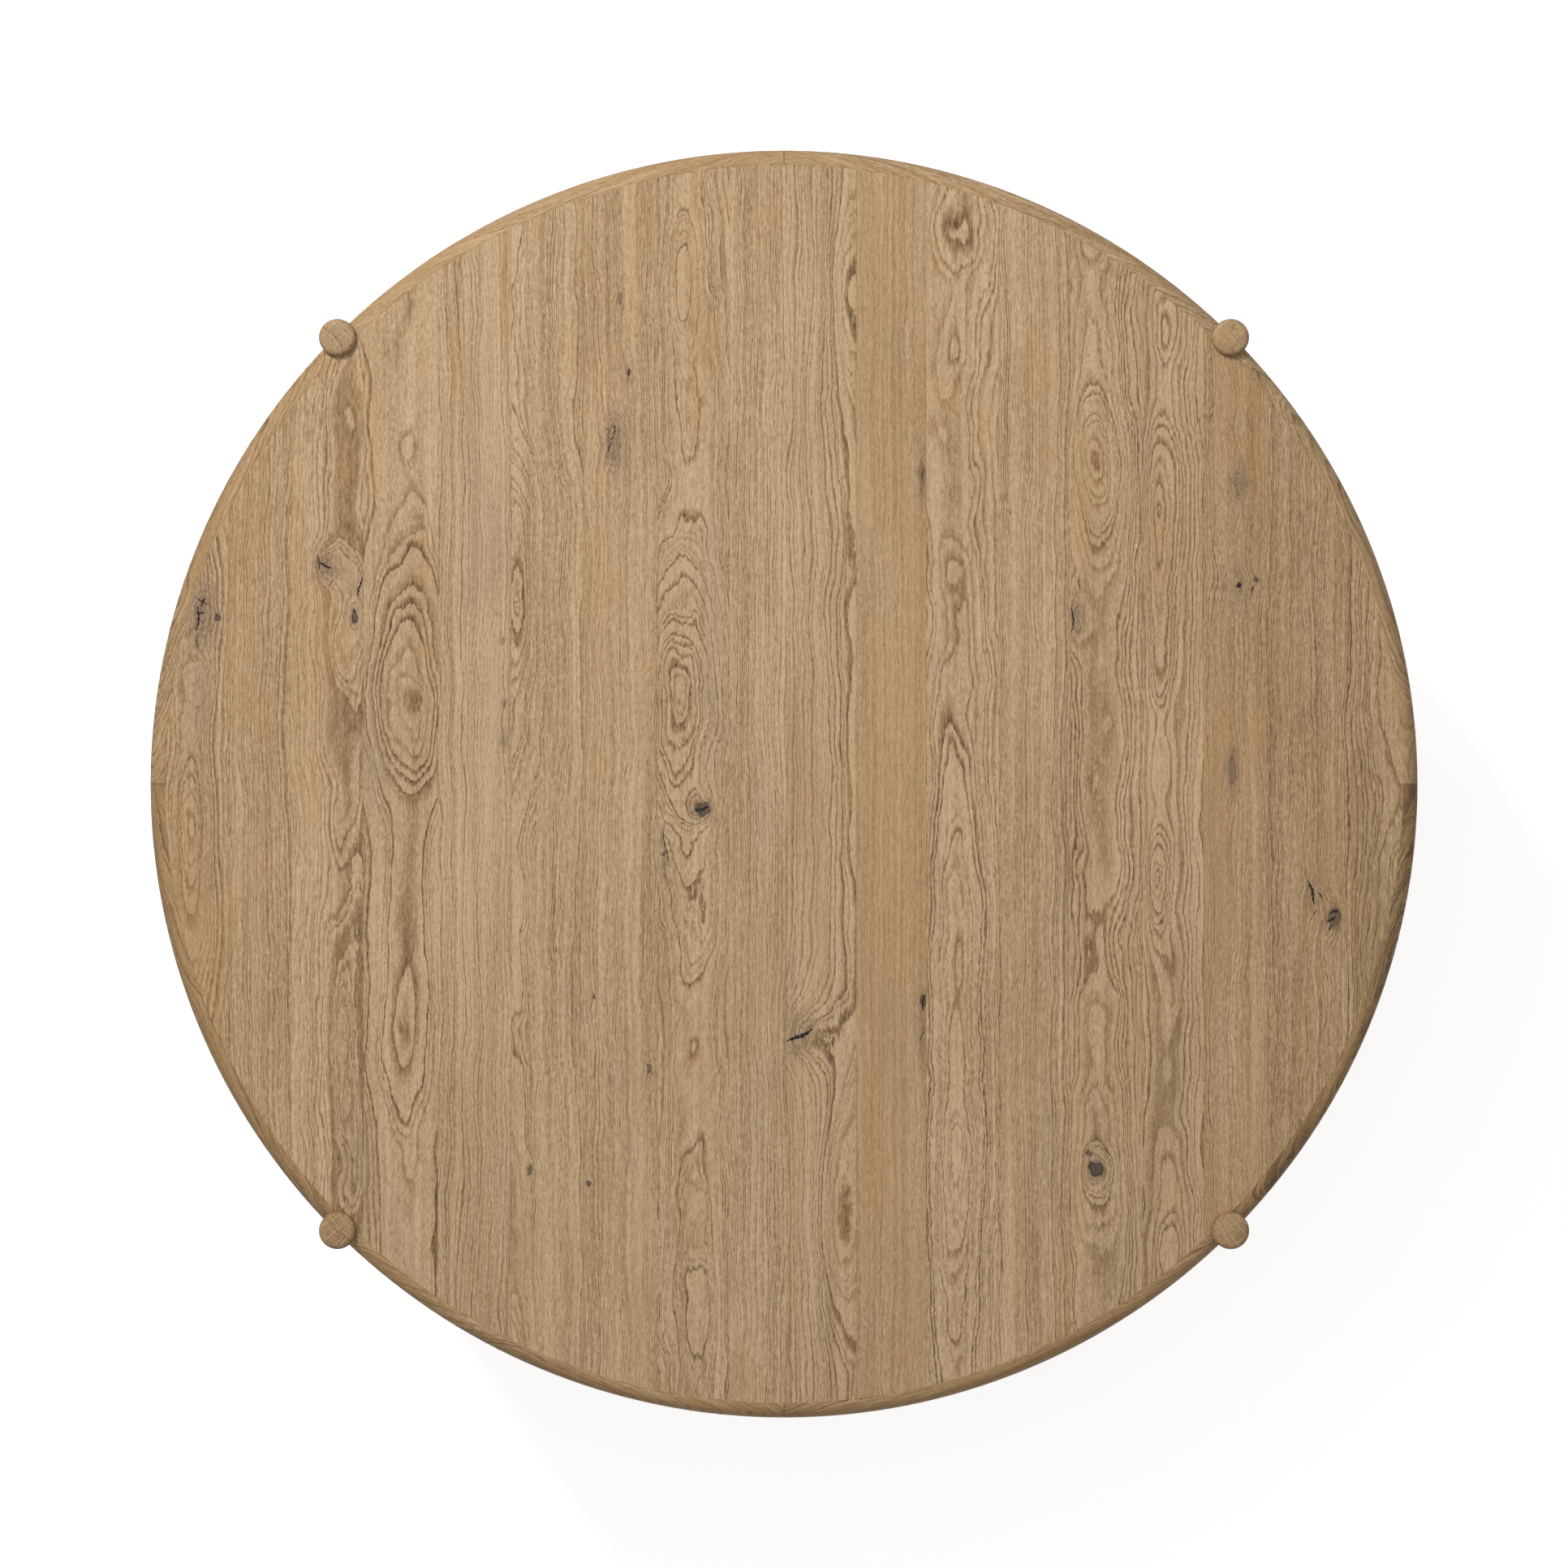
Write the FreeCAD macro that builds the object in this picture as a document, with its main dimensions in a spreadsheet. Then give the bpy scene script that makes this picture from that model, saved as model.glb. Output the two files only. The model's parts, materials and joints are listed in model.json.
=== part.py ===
"""Round oak table on four turned posts.

The top is a plywood disc faced with oak staves and lipped with solid oak. Four round
posts stand in notches at its rim, joined by rails, corner blocks and hanger bolts, and
each post has a levelling foot screwed into its lower end.

Millimetres, +Z up. The origin is on the floor under the middle of the top, and the
staves run along Y.
"""
import FreeCAD, Part
import os
import Sketcher
from FreeCAD import Placement, Rotation, Vector

DRIVING_SIZES = [
    ("top_diameter", 1524, "across the top, outside the edging"),
    ("top_thickness", 38, "face, core and backing together"),
    ("table_height", 762, "floor to the top surface"),
    ("face_thickness", 4, "oak staves"),
    ("backing_thickness", 2, "balancing veneer under the core"),
    ("seam_bevel", 0.3, "eased arris along each stave"),
    ("edging_width", 19.5, "solid oak lipping round the rim"),
    ("edge_radius", 18.5, "bullnose of the rim"),
    ("edge_land", 0.5, "flat left beside each bullnose"),
    ("glue_gap", 0.1, "room left at a glued joint"),
    ("leg_diameter", 44.5, "turned post"),
    ("leg_inset", 5, "rim to each post's axis"),
    ("leg_rise", 12, "post above the top surface"),
    ("leg_crown", 2.5, "height of the dome on a post"),
    ("leg_round", 7, "rounded edge of the dome"),
    ("leg_foot_bevel", 2, "chamfer at a post's lower end"),
    ("notch_gap", 0.2, "between a post and its notch"),
    ("rail_thickness", 24, "apron rails"),
    ("rail_height", 70, "apron rails"),
    ("rail_round", 3, "lower arrises of a rail"),
    ("tenon_length", 10, "stub tenon into a post"),
    ("tenon_thickness", 10, ""),
    ("tenon_shoulder", 15, "rail above and below its tenon"),
    ("cross_thickness", 24, "rail across the middle"),
    ("cross_lift", 10, "lower edge above that of the apron rails"),
    ("housing_depth", 6, "groove that holds the cross rail"),
    ("block_gap", 3, "between a post and its corner block"),
    ("block_thickness", 28, "along the bolt"),
    ("block_margin", 7, "rail above and below a corner block"),
    ("bolt_diameter", 8, "M8 hanger bolt"),
    ("bolt_bite", 30, "bolt inside the post"),
    ("bolt_tail", 4, "bolt past its nut"),
    ("bolt_slack", 0.5, "round the bolt in its block"),
    ("thread_bevel", 1, "at the ends of bolts and studs"),
    ("washer_diameter", 20, ""),
    ("washer_thickness", 1.6, ""),
    ("nut_flats", 13, "M8 hexagon"),
    ("nut_height", 6.5, ""),
    ("screw_diameter", 4, "wood screws"),
    ("screw_head", 8, "head diameter"),
    ("screw_head_flat", 5, "top of the head"),
    ("screw_head_height", 2.4, ""),
    ("screw_point", 3, "tapered end"),
    ("screw_margin", 13, "block above and below its screws"),
    ("screw_inset", 10, "corner of a block to its screws, along a rail"),
    ("screw_seat", 12, "wood under a block screw's head"),
    ("screw_bite", 14, "block screw inside a rail"),
    ("counterbore_slack", 1, "round a screw head in its counterbore"),
    ("clip_station", 265, "middle of a rail to its clips"),
    ("clip_width", 18, "zinc-plated steel clips"),
    ("clip_thickness", 2, ""),
    ("clip_reach", 22, "flange under the top"),
    ("clip_tongue", 8, "tongue in the rail's kerf"),
    ("kerf_drop", 12, "underside of the top to the kerf's upper face"),
    ("kerf_height", 3, ""),
    ("clip_screw_bite", 18, "clip screw inside the top"),
    ("clip_screw_offset", 13, "clip screw to the rail's face"),
    ("insert_diameter", 13, "threaded bush in a post's lower end"),
    ("insert_length", 20, ""),
    ("pad_diameter", 34, "nylon foot"),
    ("pad_height", 7, ""),
    ("pad_round", 2, ""),
    ("socket_depth", 4, "stud inside the pad"),
    ("stud_diameter", 8, "M8 levelling stud"),
    ("stud_engagement", 32, "stud inside the post, screwed right in"),
    ("stud_slack", 4, "bore left above the stud"),
    ("collar_flats", 17, "hexagon that a spanner turns"),
    ("collar_height", 4, ""),
    ("foot_gap", 0.1, "end play above and below the collar"),
    ("running_gap", 0.05, "round the stud in its bush and pad"),
]

# Random-width staves, left to right: the set is ripped to fill the disc edge to edge.
STAVE_WIDTHS = [77, 74, 87, 89, 88, 86, 89, 86, 69, 83, 84, 87, 86, 86, 73, 76, 89, 74]

# Sizes that follow from the sheet, as expressions.
PANEL_RADIUS = "(Sizes.top_diameter / 2 - Sizes.edging_width)"
TOP_UNDERSIDE = "(Sizes.table_height - Sizes.top_thickness)"
CORE_TOP = "(Sizes.table_height - Sizes.face_thickness)"
CORE_BOTTOM = f"({TOP_UNDERSIDE} + Sizes.backing_thickness)"
LEG_CIRCLE = "(Sizes.top_diameter / 2 - Sizes.leg_inset)"
LEG_RADIUS = "(Sizes.leg_diameter / 2)"
NOTCH_RADIUS = f"({LEG_RADIUS} + Sizes.notch_gap)"
LEG_BOTTOM = "(Sizes.pad_height + Sizes.collar_height + 2 * Sizes.foot_gap)"
LEG_TOP = "(Sizes.table_height + Sizes.leg_rise)"
CROWN_RADIUS = f"(({LEG_RADIUS} ^ 2 + Sizes.leg_crown ^ 2) / (2 * Sizes.leg_crown))"
RAIL_OFFSET = f"({LEG_CIRCLE} * cos(45))"
RAIL_FACE = f"({RAIL_OFFSET} - Sizes.rail_thickness / 2)"
RAIL_MIDDLE = f"({TOP_UNDERSIDE} - Sizes.rail_height / 2)"
BLOCK_NEAR = f"({LEG_RADIUS} + Sizes.block_gap)"
BLOCK_FAR = f"({BLOCK_NEAR} + Sizes.block_thickness)"
BLOCK_APEX = "(Sizes.rail_thickness / sqrt(2))"
BLOCK_HEIGHT = "(Sizes.rail_height - 2 * Sizes.block_margin)"
SCREW_STATION = f"(Sizes.rail_thickness / 2 + ({BLOCK_NEAR} - {BLOCK_APEX}) * sqrt(2) + Sizes.screw_inset)"
SCREW_RISE = f"({BLOCK_HEIGHT} / 2 - Sizes.screw_margin)"
TENON_HEIGHT = "(Sizes.rail_height - 2 * Sizes.tenon_shoulder)"
CROSS_HEIGHT = "(Sizes.rail_height - Sizes.cross_lift)"
CLIP_Z = f"({TOP_UNDERSIDE} - Sizes.kerf_drop)"
STUD_RADIUS = "(Sizes.stud_diameter / 2)"
SOCKET_BOTTOM = "(Sizes.pad_height - Sizes.socket_depth)"

SIDES = {"right": 0, "back": 90, "left": 180, "front": 270}
CORNERS = {"back_right": 45, "back_left": 135, "front_left": 225, "front_right": 315}

doc = FreeCAD.newDocument("round_table")
nodes = []


# ---------------------------------------------------------------- shared steps

def fill_sheet():
    sheet = doc.addObject("Spreadsheet::Sheet", "Sizes")
    for row, (alias, value, note) in enumerate(DRIVING_SIZES, 1):
        sheet.set(f"A{row}", alias)
        sheet.set(f"B{row}", str(value))
        sheet.set(f"C{row}", note)
        sheet.setAlias(f"B{row}", alias)
    first = len(DRIVING_SIZES) + 1
    for row, width in enumerate(STAVE_WIDTHS, first):
        sheet.set(f"A{row}", stave_alias(row - first + 1))
        sheet.set(f"B{row}", str(width))
        sheet.setAlias(f"B{row}", stave_alias(row - first + 1))
    doc.recompute()


def stave_alias(number):
    return f"stave_width_{number:02d}"


def as_node(piece, label):
    piece.Label = label
    nodes.append(piece)
    return piece


def bind(piece, **expressions):
    for name, expression in expressions.items():
        piece.setExpression(name, expression)
    return piece


def place(piece, angle, out="0", along="0", up="0"):
    """Turn a piece about Z, then move it out from the table's middle and along."""
    piece.Placement = Placement(Vector(), Rotation(Vector(0, 0, 1), angle))
    piece.setExpression("Placement.Base.x", f"{out} * cos({angle}) - {along} * sin({angle})")
    piece.setExpression("Placement.Base.y", f"{out} * sin({angle}) + {along} * cos({angle})")
    piece.setExpression("Placement.Base.z", up)
    return piece


def new_body(name):
    return doc.addObject("PartDesign::Body", name)


def origin_plane(body, role):
    return next(plane for plane in body.Origin.OriginFeatures if plane.Role == role)


def outline(body, name, role, points, arcs=None):
    """A closed sketch through (x, y) expressions; arcs gives the radius of a curved side."""
    sketch = body.newObject("Sketcher::SketchObject", name)
    sketch.AttachmentSupport = [(origin_plane(body, role), "")]
    sketch.MapMode = "FlatFace"
    corners = [Vector(sketch.evalExpression(x), sketch.evalExpression(y), 0) for x, y in points]
    ends = []
    for side, start in enumerate(corners):
        end = corners[(side + 1) % len(corners)]
        if arcs and side in arcs:
            ends.append(add_arc(sketch, start, end, sketch.evalExpression(arcs[side])))
        else:
            ends.append((sketch.addGeometry(Part.LineSegment(start, end)), 1, 2))
    for side, (line, _, last) in enumerate(ends):
        following, first, _ = ends[(side + 1) % len(ends)]
        sketch.addConstraint(Sketcher.Constraint("Coincident", line, last, following, first))
    for (line, first, _), corner, (x, y) in zip(ends, corners, points):
        pin_point(sketch, "DistanceX", line, first, corner.x, x)
        pin_point(sketch, "DistanceY", line, first, corner.y, y)
    for side, radius in (arcs or {}).items():
        value = sketch.evalExpression(radius)
        index = sketch.addConstraint(Sketcher.Constraint("Radius", ends[side][0], value))
        sketch.setExpression(f"Constraints[{index}]", radius)
    return sketch


def add_arc(sketch, start, end, radius):
    """An arc that bulges away from the sketch's origin line; returns (id, first, last)."""
    chord = end - start
    middle = (start + end) * 0.5
    sagitta = radius - (radius ** 2 - (chord.Length / 2) ** 2) ** 0.5
    outward = Vector(chord.y, -chord.x, 0).normalize()
    arc = sketch.addGeometry(Part.Arc(start, middle + outward * sagitta, end))
    starts_first = sketch.getPoint(arc, 1).isEqual(start, 1e-6)
    return (arc, 1, 2) if starts_first else (arc, 2, 1)


def pin_point(sketch, kind, line, point, value, expression):
    index = sketch.addConstraint(Sketcher.Constraint(kind, -1, 1, line, point, value))
    sketch.setExpression(f"Constraints[{index}]", expression)


def padded(body, sketch, length):
    pad = body.newObject("PartDesign::Pad", sketch.Name + "_pad")
    pad.Profile = sketch
    pad.setExpression("Length", length)
    return pad


def turned(body, sketch, axis, degrees=360):
    revolution = body.newObject("PartDesign::Revolution", sketch.Name + "_turned")
    revolution.Profile = sketch
    revolution.ReferenceAxis = (sketch, [axis])
    revolution.Angle = degrees
    return revolution


def shaped(body, kind, name, angle=0, x="0", y="0", z="0", tilt=0, **sizes):
    """Add or take away a box or cylinder, placed from the body's own origin.

    tilt lays a cylinder over towards +X; angle then turns the whole about Z.
    """
    feature = body.newObject("PartDesign::" + kind, name)
    feature.AttachmentSupport = [(origin_plane(body, "XY_Plane"), "")]
    feature.MapMode = "FlatFace"
    turn = Rotation(Vector(0, 0, 1), angle) * Rotation(Vector(0, 1, 0), tilt)
    feature.AttachmentOffset = Placement(Vector(), turn)
    base = "AttachmentOffset.Base."
    feature.setExpression(base + "x", f"{x} * cos({angle}) - {y} * sin({angle})")
    feature.setExpression(base + "y", f"{x} * sin({angle}) + {y} * cos({angle})")
    feature.setExpression(base + "z", z)
    return bind(feature, **sizes)


def edges_where(shape, test):
    return [f"Edge{number}" for number, edge in enumerate(shape.Edges, 1) if test(edge)]


def is_level_circle(edge, radius):
    if edge.Degenerated or not isinstance(edge.Curve, Part.Circle):
        return False
    return abs(edge.Curve.Radius - radius) < 1e-6


def rounded(body, kind, name, test, size):
    """Fillet or chamfer the edges of the body's present tip that pass the test."""
    doc.recompute()
    tip = body.Tip
    edges = edges_where(tip.Shape, test)
    feature = body.newObject("PartDesign::" + kind, name)
    feature.Base = (tip, edges)
    feature.setExpression("Radius" if kind == "Fillet" else "Size", size)
    return feature


def group_of(label, links):
    group = doc.addObject("Part::Compound", label)
    group.Links = links
    return as_node(group, label)


def copy_of(master, name):
    link = doc.addObject("App::Link", name)
    link.LinkedObject = master
    return link


def hexagon(flats):
    corner = f"{flats} / sqrt(3)"
    return [(f"{corner} * cos({60 * k})", f"{corner} * sin({60 * k})") for k in range(6)]


# ---------------------------------------------------------------- table top

def layer_disc(name, bottom, thickness, notches):
    """One layer of the panel: a disc with a notch for each post."""
    disc = doc.addObject("Part::Cylinder", name + "_disc")
    bind(disc, Radius=PANEL_RADIUS, Height=thickness)
    disc.setExpression("Placement.Base.z", bottom)
    layer = doc.addObject("Part::Cut", name)
    layer.Base = disc
    layer.Tool = notches
    return layer


def make_notches():
    """Cutters for the four notches, through the whole thickness of the top."""
    cutters = []
    for corner, angle in CORNERS.items():
        cutter = doc.addObject("Part::Cylinder", "notch_" + corner)
        bind(cutter, Radius=NOTCH_RADIUS, Height="Sizes.table_height")
        cutters.append(place(cutter, angle, out=LEG_CIRCLE))
    notches = doc.addObject("Part::Compound", "notches")
    notches.Links = cutters
    return notches


def clip_screw_holes(layer):
    """Cutters for the clip screws' pilot holes in one layer of the panel."""
    holes = []
    for number, (angle, out, along) in enumerate(clip_places(), 1):
        hole = doc.addObject("Part::Cylinder", f"{layer}_clip_hole_{number}")
        bind(hole, Radius="Sizes.screw_diameter / 2 + Sizes.glue_gap",
             Height="Sizes.clip_screw_bite + Sizes.glue_gap")
        holes.append(place(hole, angle, f"({out} - Sizes.clip_screw_offset)", along, TOP_UNDERSIDE))
    compound = doc.addObject("Part::Compound", layer + "_clip_holes")
    compound.Links = holes
    return compound


def make_panel_layer(label, bottom, thickness, notches):
    blank = layer_disc(label + "_blank", bottom, thickness, notches)
    layer = doc.addObject("Part::Cut", label)
    layer.Base = blank
    layer.Tool = clip_screw_holes(label)
    return as_node(layer, label)


def make_staves(notches):
    """Oak staves along Y: each is a long strip, trimmed to the round face."""
    face = layer_disc("face_blank", CORE_TOP, "Sizes.face_thickness", notches)
    count = len(STAVE_WIDTHS)
    total = "(" + " + ".join(f"Sizes.{stave_alias(n)}" for n in range(1, count + 1)) + ")"
    ripped = f"2 * {PANEL_RADIUS} / {total}"
    left = f"-{PANEL_RADIUS}"
    bevel = "Sizes.seam_bevel"
    top = "Sizes.table_height"
    for number in range(1, count + 1):
        right = f"({left} + Sizes.{stave_alias(number)} * {ripped})"
        strip = new_body(f"strip_{number:02d}")
        points = [(left, CORE_TOP), (right, CORE_TOP), (right, f"{top} - {bevel}"),
                  (f"{right} - {bevel}", top), (f"{left} + {bevel}", top), (left, f"{top} - {bevel}")]
        pad = padded(strip, outline(strip, f"section_{number:02d}", "XZ_Plane", points),
                     "Sizes.top_diameter")
        pad.Midplane = True
        stave = doc.addObject("Part::Common", f"face_stave_{number:02d}")
        stave.Base = strip
        stave.Tool = face if number == 1 else copy_of(face, f"face_copy_{number:02d}")
        as_node(stave, f"face_stave_{number:02d}")
        left = right


def make_edging():
    """Solid oak lipping in eight lengths: butt joints on the axes, notched at each post."""
    outer = "Sizes.top_diameter / 2"
    inner = f"{PANEL_RADIUS} + Sizes.glue_gap"
    bullnose = "min(Sizes.edge_radius; Sizes.top_thickness / 2 - Sizes.edge_land; " \
               "Sizes.edging_width - Sizes.glue_gap - Sizes.edge_land)"
    points = [(inner, TOP_UNDERSIDE), (outer, TOP_UNDERSIDE),
              (outer, "Sizes.table_height"), (inner, "Sizes.table_height")]
    for number in range(8):
        body = new_body(f"edging_{number + 1}")
        section = outline(body, f"edging_section_{number + 1}", "XZ_Plane", points)
        turned(body, section, "V_Axis", 45)
        rim = body.evalExpression(outer)
        rounded(body, "Fillet", f"bullnose_{number + 1}", lambda e: is_level_circle(e, rim), bullnose)
        post_angle = 45 if number % 2 == 0 else 0
        shaped(body, "SubtractiveCylinder", f"edging_notch_{number + 1}", post_angle,
               x=LEG_CIRCLE, Radius=NOTCH_RADIUS, Height="2 * Sizes.table_height")
        place(body, 45 * number)
        as_node(body, f"edging_{number + 1}")


# ---------------------------------------------------------------- frame

def make_leg(corner, angle):
    """A turned post; its own +X points out from the table's middle."""
    body = new_body("leg_" + corner)
    shoulder = f"{LEG_TOP} - Sizes.leg_crown"
    points = [("0", LEG_BOTTOM), (LEG_RADIUS, LEG_BOTTOM), (LEG_RADIUS, shoulder), ("0", LEG_TOP)]
    profile = outline(body, "profile_" + corner, "XZ_Plane", points, {2: CROWN_RADIUS})
    turned(body, profile, "V_Axis")
    radius = body.evalExpression(LEG_RADIUS)
    middle = body.evalExpression("Sizes.table_height") / 2
    rounded(body, "Fillet", "dome_" + corner,
            lambda e: is_level_circle(e, radius) and e.BoundBox.ZMin > middle, "Sizes.leg_round")
    rounded(body, "Chamfer", "foot_bevel_" + corner,
            lambda e: is_level_circle(e, radius) and e.BoundBox.ZMax < middle, "Sizes.leg_foot_bevel")
    for turn in (-135, 135):
        shaped(body, "SubtractiveBox", "mortise", turn,
               x=f"({LEG_RADIUS} - Sizes.tenon_length - Sizes.glue_gap)",
               y="(-Sizes.tenon_thickness / 2 - Sizes.glue_gap)",
               z=f"{RAIL_MIDDLE} - {TENON_HEIGHT} / 2 - Sizes.glue_gap",
               Length=LEG_RADIUS, Width="Sizes.tenon_thickness + 2 * Sizes.glue_gap",
               Height=f"{TENON_HEIGHT} + 2 * Sizes.glue_gap")
    shaped(body, "SubtractiveCylinder", "bolt_hole", tilt=90, x=f"-2 * {LEG_RADIUS}", z=RAIL_MIDDLE,
           Radius="Sizes.bolt_diameter / 2 + Sizes.glue_gap",
           Height=f"{LEG_RADIUS} + Sizes.bolt_bite + Sizes.glue_gap")
    shaped(body, "SubtractiveCylinder", "bush_hole", z=LEG_BOTTOM,
           Radius="Sizes.insert_diameter / 2 + Sizes.glue_gap", Height="Sizes.insert_length")
    shaped(body, "SubtractiveCylinder", "stud_bore", z=LEG_BOTTOM,
           Radius=f"{STUD_RADIUS} + Sizes.bolt_slack",
           Height="Sizes.stud_engagement + Sizes.stud_slack")
    place(body, angle, out=LEG_CIRCLE)
    as_node(body, "leg_" + corner)


def make_rail(side, angle, is_housed):
    """An apron rail; its own +X points outwards and it runs along Y between two posts."""
    body = new_body("rail_" + side)
    half = "Sizes.rail_thickness / 2"
    bottom = f"{TOP_UNDERSIDE} - Sizes.rail_height"
    shaped(body, "AdditiveBox", "rail_stock", x=f"(-{half})", y=f"(-{RAIL_OFFSET})", z=bottom,
           Length="Sizes.rail_thickness", Width=f"2 * {RAIL_OFFSET}", Height="Sizes.rail_height")
    low = body.evalExpression(bottom)
    length = body.evalExpression(f"2 * {RAIL_OFFSET}")
    rounded(body, "Fillet", "arris",
            lambda e: abs(e.BoundBox.ZMax - low) < 1e-6 and abs(e.Length - length) < 1e-6,
            "Sizes.rail_round")
    for end in (-1, 1):
        shaped(body, "SubtractiveCylinder", "cope", y=f"({end} * {RAIL_OFFSET})",
               Radius=f"{LEG_RADIUS} + Sizes.glue_gap", Height="2 * Sizes.table_height")
    reach = f"({RAIL_OFFSET} - {LEG_RADIUS} + Sizes.tenon_length)"
    shaped(body, "AdditiveBox", "tenons", x="(-Sizes.tenon_thickness / 2)", y=f"(-{reach})",
           z=f"{RAIL_MIDDLE} - {TENON_HEIGHT} / 2", Length="Sizes.tenon_thickness",
           Width=f"2 * {reach}", Height=TENON_HEIGHT)
    for end in (-1, 1):
        # Clears the hanger bolt, which leaves the post between the ends of two rails.
        shaped(body, "SubtractiveCylinder", "bolt_way", 180 + 45 * end, tilt=90,
               x=f"(-{RAIL_OFFSET} * cos(45))", y=f"({-end} * {RAIL_OFFSET} * cos(45))", z=RAIL_MIDDLE,
               Radius="Sizes.bolt_diameter / 2 + Sizes.bolt_slack", Height=BLOCK_FAR)
        for level in (-1, 1):
            shaped(body, "SubtractiveCylinder", "pilot", tilt=90, x=f"(-{half})",
                   y=f"({end} * ({RAIL_OFFSET} - {SCREW_STATION}))",
                   z=f"{RAIL_MIDDLE} + {level} * {SCREW_RISE}",
                   Radius="Sizes.screw_diameter / 2 + Sizes.glue_gap",
                   Height="Sizes.screw_bite + Sizes.glue_gap")
        cut_kerf(body, f"(-{half})", f"{end} * Sizes.clip_station")
    if is_housed:
        shaped(body, "SubtractiveBox", "housing", x=f"(-{half} - Sizes.rail_thickness)",
               y="(-Sizes.cross_thickness / 2 - Sizes.glue_gap)",
               z=f"{TOP_UNDERSIDE} - {CROSS_HEIGHT} - Sizes.glue_gap",
               Length="Sizes.rail_thickness + Sizes.housing_depth",
               Width="Sizes.cross_thickness + 2 * Sizes.glue_gap",
               Height=f"{CROSS_HEIGHT} + 2 * Sizes.glue_gap")
    place(body, angle, out=RAIL_OFFSET)
    as_node(body, "rail_" + side)


def cut_kerf(body, face, along):
    """A short groove in a rail's inner face, for the tongue of a clip."""
    width = "(Sizes.clip_width + 2 * Sizes.bolt_slack)"
    shaped(body, "SubtractiveBox", "kerf", x=face, y=f"({along} - {width} / 2)",
           z=f"{CLIP_Z} - Sizes.kerf_height", Length="Sizes.clip_tongue + Sizes.bolt_slack",
           Width=width, Height="Sizes.kerf_height")


def make_cross_rail():
    """The rail across the middle, housed at each end in a side rail."""
    body = new_body("cross_rail")
    half = "Sizes.cross_thickness / 2"
    reach = f"({RAIL_FACE} + Sizes.housing_depth - Sizes.glue_gap)"
    bottom = f"{TOP_UNDERSIDE} - {CROSS_HEIGHT}"
    shaped(body, "AdditiveBox", "cross_stock", x=f"(-{half})", y=f"(-{reach})", z=bottom,
           Length="Sizes.cross_thickness", Width=f"2 * {reach}", Height=CROSS_HEIGHT)
    for end in (-1, 1):
        cut_kerf(body, f"(-{half})", f"{end} * Sizes.clip_station")
    place(body, 90)
    as_node(body, "cross_rail")


def make_corner_block(corner, angle):
    """A block across the corner behind a post; its own +X points at the post."""
    body = new_body("corner_block_" + corner)
    near_half = f"({BLOCK_NEAR} - {BLOCK_APEX})"
    far_half = f"({BLOCK_FAR} - {BLOCK_APEX})"
    points = [(f"-{BLOCK_NEAR}", f"-{near_half}"), (f"-{BLOCK_NEAR}", near_half),
              (f"-{BLOCK_FAR}", far_half), (f"-{BLOCK_FAR}", f"-{far_half}")]
    section = outline(body, "block_section_" + corner, "XY_Plane", points)
    section.setExpression("AttachmentOffset.Base.z", f"{RAIL_MIDDLE} - {BLOCK_HEIGHT} / 2")
    padded(body, section, BLOCK_HEIGHT)
    shaped(body, "SubtractiveCylinder", "bolt_way", tilt=90, x=f"-2 * {BLOCK_FAR}", z=RAIL_MIDDLE,
           Radius="Sizes.bolt_diameter / 2 + Sizes.bolt_slack", Height=f"2 * {BLOCK_FAR}")
    # Seen from the post, each rail's inner face is Sizes.rail_thickness / 2 behind the axis.
    face = "(-Sizes.rail_thickness / 2)"
    for hand in (-1, 1):
        turn = 45 * hand
        along = f"({hand} * {SCREW_STATION})"
        for level in (-1, 1):
            height = f"{RAIL_MIDDLE} + {level} * {SCREW_RISE}"
            shaped(body, "SubtractiveCylinder", "screw_way", turn, tilt=90,
                   x=f"({face} - 2 * Sizes.screw_seat)", y=along, z=height,
                   Radius="Sizes.screw_diameter / 2 + Sizes.glue_gap", Height="3 * Sizes.screw_seat")
            shaped(body, "SubtractiveCylinder", "counterbore", turn, tilt=90,
                   x=f"({face} - Sizes.screw_seat - 2 * Sizes.block_thickness)", y=along, z=height,
                   Radius="Sizes.screw_head / 2 + Sizes.counterbore_slack",
                   Height="2 * Sizes.block_thickness")
    place(body, angle, out=LEG_CIRCLE)
    as_node(body, "corner_block_" + corner)


# ---------------------------------------------------------------- fasteners

def screw_master(name, under_head):
    """A wood screw along +X whose head bears at x = 0."""
    body = new_body(name)
    shank = "Sizes.screw_diameter / 2"
    points = [("-Sizes.screw_head_height", "0"), ("-Sizes.screw_head_height", "Sizes.screw_head_flat / 2"),
              ("0", "Sizes.screw_head / 2"), ("0", shank),
              (f"{under_head} - Sizes.screw_point", shank), (under_head, "0")]
    turned(body, outline(body, name + "_profile", "XY_Plane", points), "H_Axis")
    return body


def make_block_screws():
    master = screw_master("block_screw", "(Sizes.screw_seat + Sizes.screw_bite)")
    screws = []
    for side, angle in SIDES.items():
        for end in (-1, 1):
            for level in (-1, 1):
                screw = copy_of(master, f"block_screw_{side}_{len(screws)}")
                screws.append(place(screw, angle, f"({RAIL_FACE} - Sizes.screw_seat)",
                                    f"({end} * ({RAIL_OFFSET} - {SCREW_STATION}))",
                                    f"{RAIL_MIDDLE} + {level} * {SCREW_RISE}"))
    group_of("block_screws", screws)


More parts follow.
